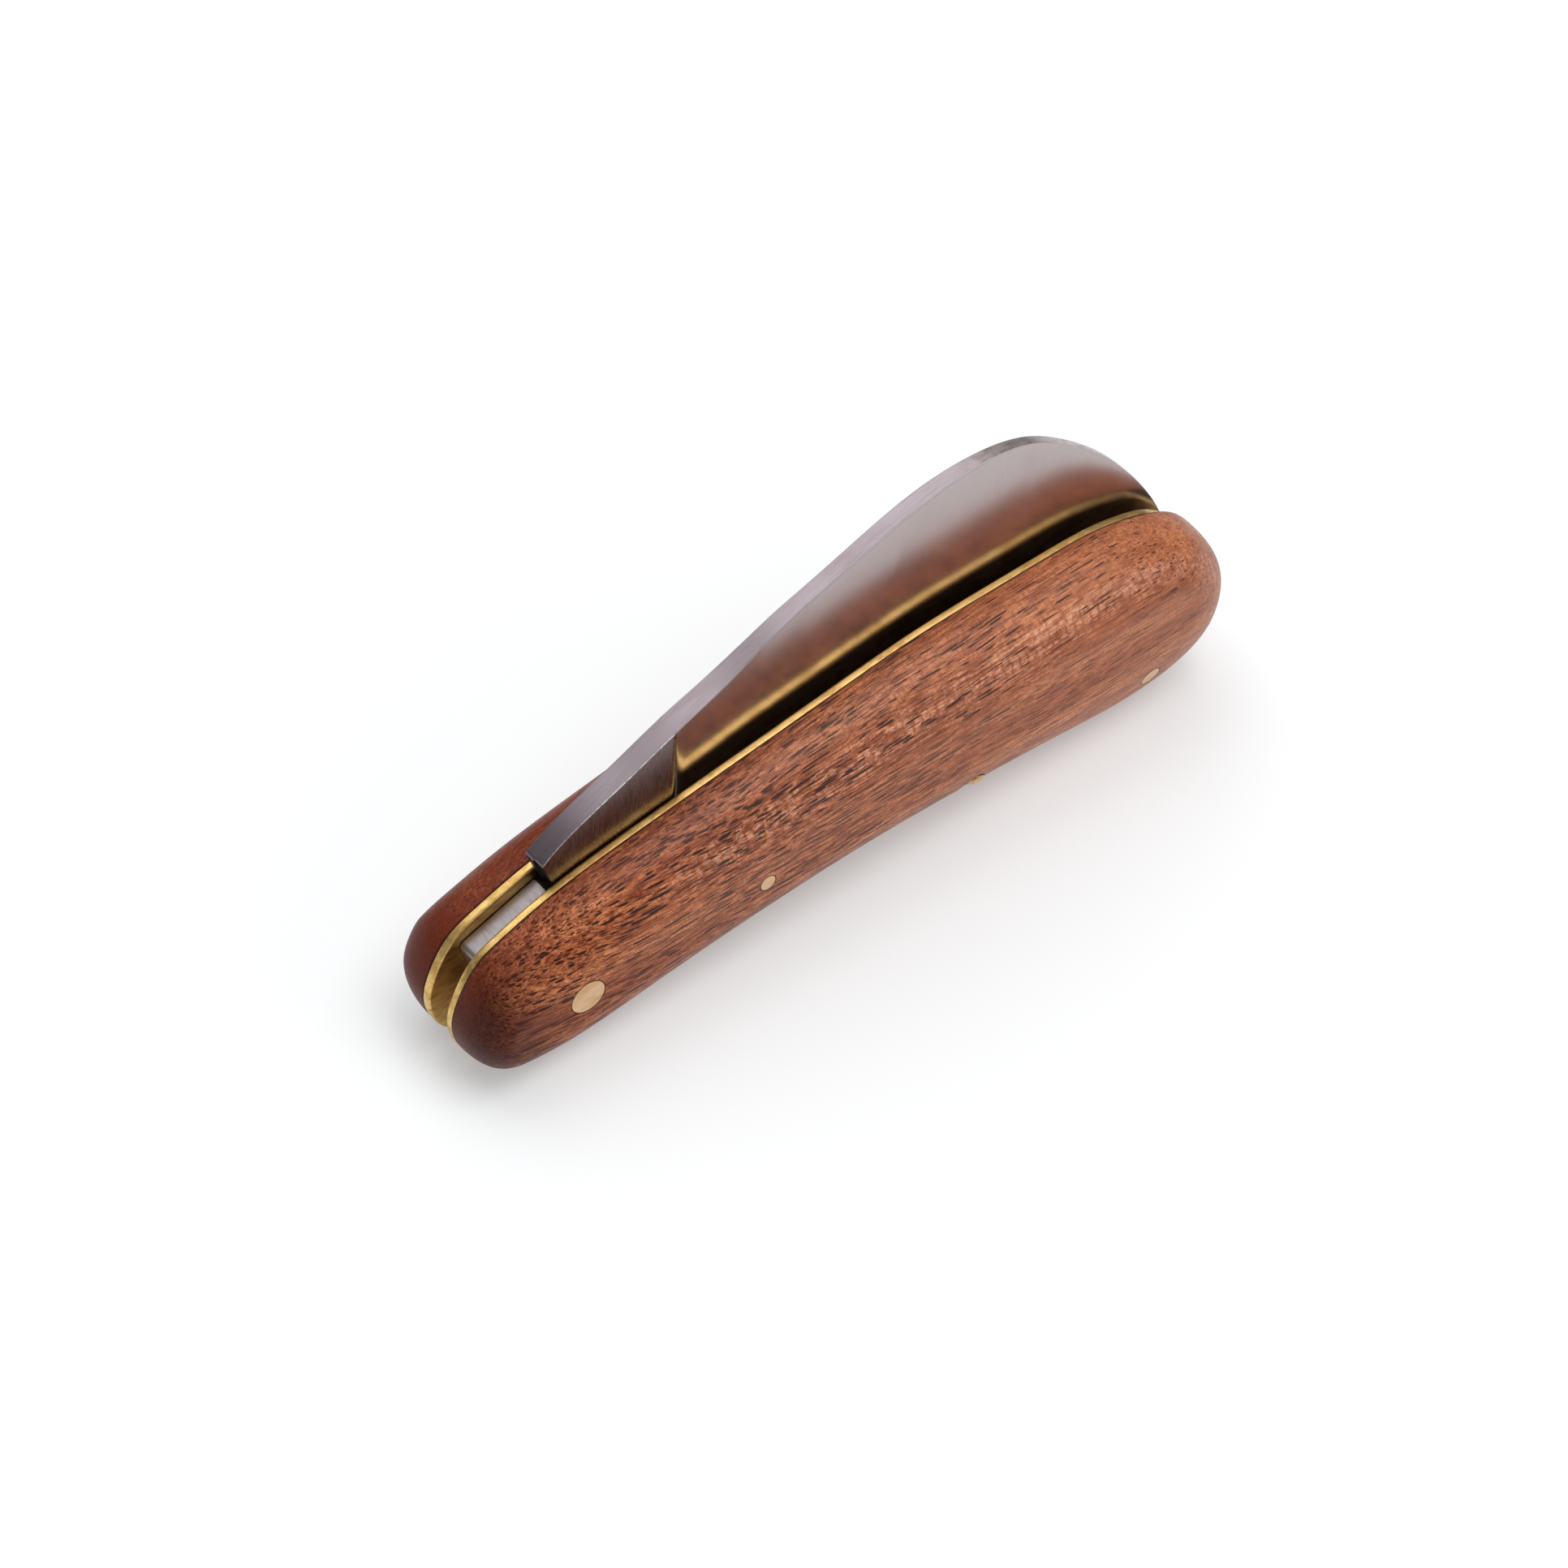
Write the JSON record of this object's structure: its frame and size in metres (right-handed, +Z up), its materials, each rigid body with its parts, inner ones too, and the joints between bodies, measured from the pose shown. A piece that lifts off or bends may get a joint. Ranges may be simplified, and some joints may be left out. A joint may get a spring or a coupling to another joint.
{
  "type": "folding pruning knife",
  "caption": "Folding pruning knife with a hooked steel blade that turns on a brass pivot between brass liners, a back spring, and rounded wooden scales held by brass rivets.",
  "frame": {"origin": "middle of the closed knife's length and width, on the surface that its back rests on", "axes": "+X from the pivot end to the butt along the handle, -Y towards the front scale, +Z up from the back to the blade's spine"},
  "size_m": [0.1101, 0.0236, 0.0474],
  "materials": {
    "wood": "oiled open-pored red-brown hardwood",
    "brass": "satin",
    "pin_brass": "ground flush, satin",
    "spring_steel": "brushed along its length",
    "blade_steel": "polished ground faces, brushed spine"
  },
  "bodies": {
    "handle": {"front_scale": "wood", "rear_scale": "wood", "front_liner": "brass", "rear_liner": "brass", "back_spring": "spring_steel", "pivot_pin": "pin_brass", "middle_pin": "pin_brass", "spring_pin": "pin_brass", "butt_pin": "pin_brass"},
    "blade": {"blade": "blade_steel"}
  },
  "joints": [
    {"name": "blade_pivot", "type": "hinge", "parent": "handle", "child": "blade", "pos_m": [-0.0416, 0, 0.0104], "axis": [0, -1, 0], "range_deg": [0, 160.6], "deforming": ["back_spring"]}
  ]
}
